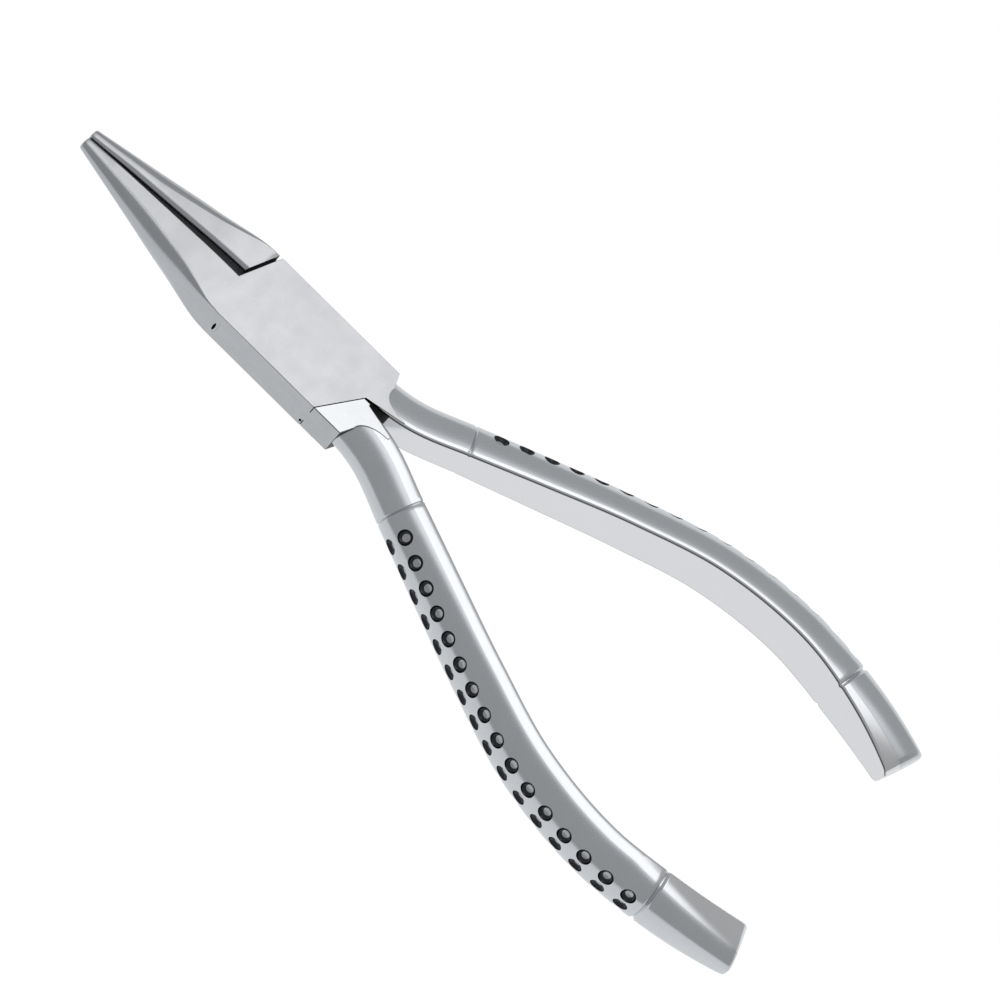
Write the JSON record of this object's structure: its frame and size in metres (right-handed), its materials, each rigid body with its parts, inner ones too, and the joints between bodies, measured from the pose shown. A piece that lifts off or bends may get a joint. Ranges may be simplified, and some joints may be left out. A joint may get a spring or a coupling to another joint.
{
  "type": "orthodontic pliers",
  "caption": "Steel box-joint pliers with slim round tapered beaks and curved handles with dimpled grips, for bending fine wire.",
  "frame": {"origin": "on the pivot axis, in the plane of the box joint's back face", "axes": "+Y to the beak tips, +X to the side of the box half's handle, +Z along the pivot axis out of the front face"},
  "size_m": [0.0523, 0.1404, 0.0102],
  "materials": {
    "box_half": "satin polished stainless steel",
    "tongue_half": "satin polished stainless steel",
    "pivot_pin": "ground flush with the cheeks, satin"
  },
  "bodies": {
    "box_side": {"box_half": "box_half", "pivot_pin": "pivot_pin"},
    "tongue_side": {"tongue_half": "tongue_half"}
  },
  "joints": [
    {"name": "pivot", "type": "hinge", "parent": "box_side", "child": "tongue_side", "pos_m": [0, 0, 0.0035], "axis": [0, 0, -1], "range_deg": [0, 25]}
  ]
}
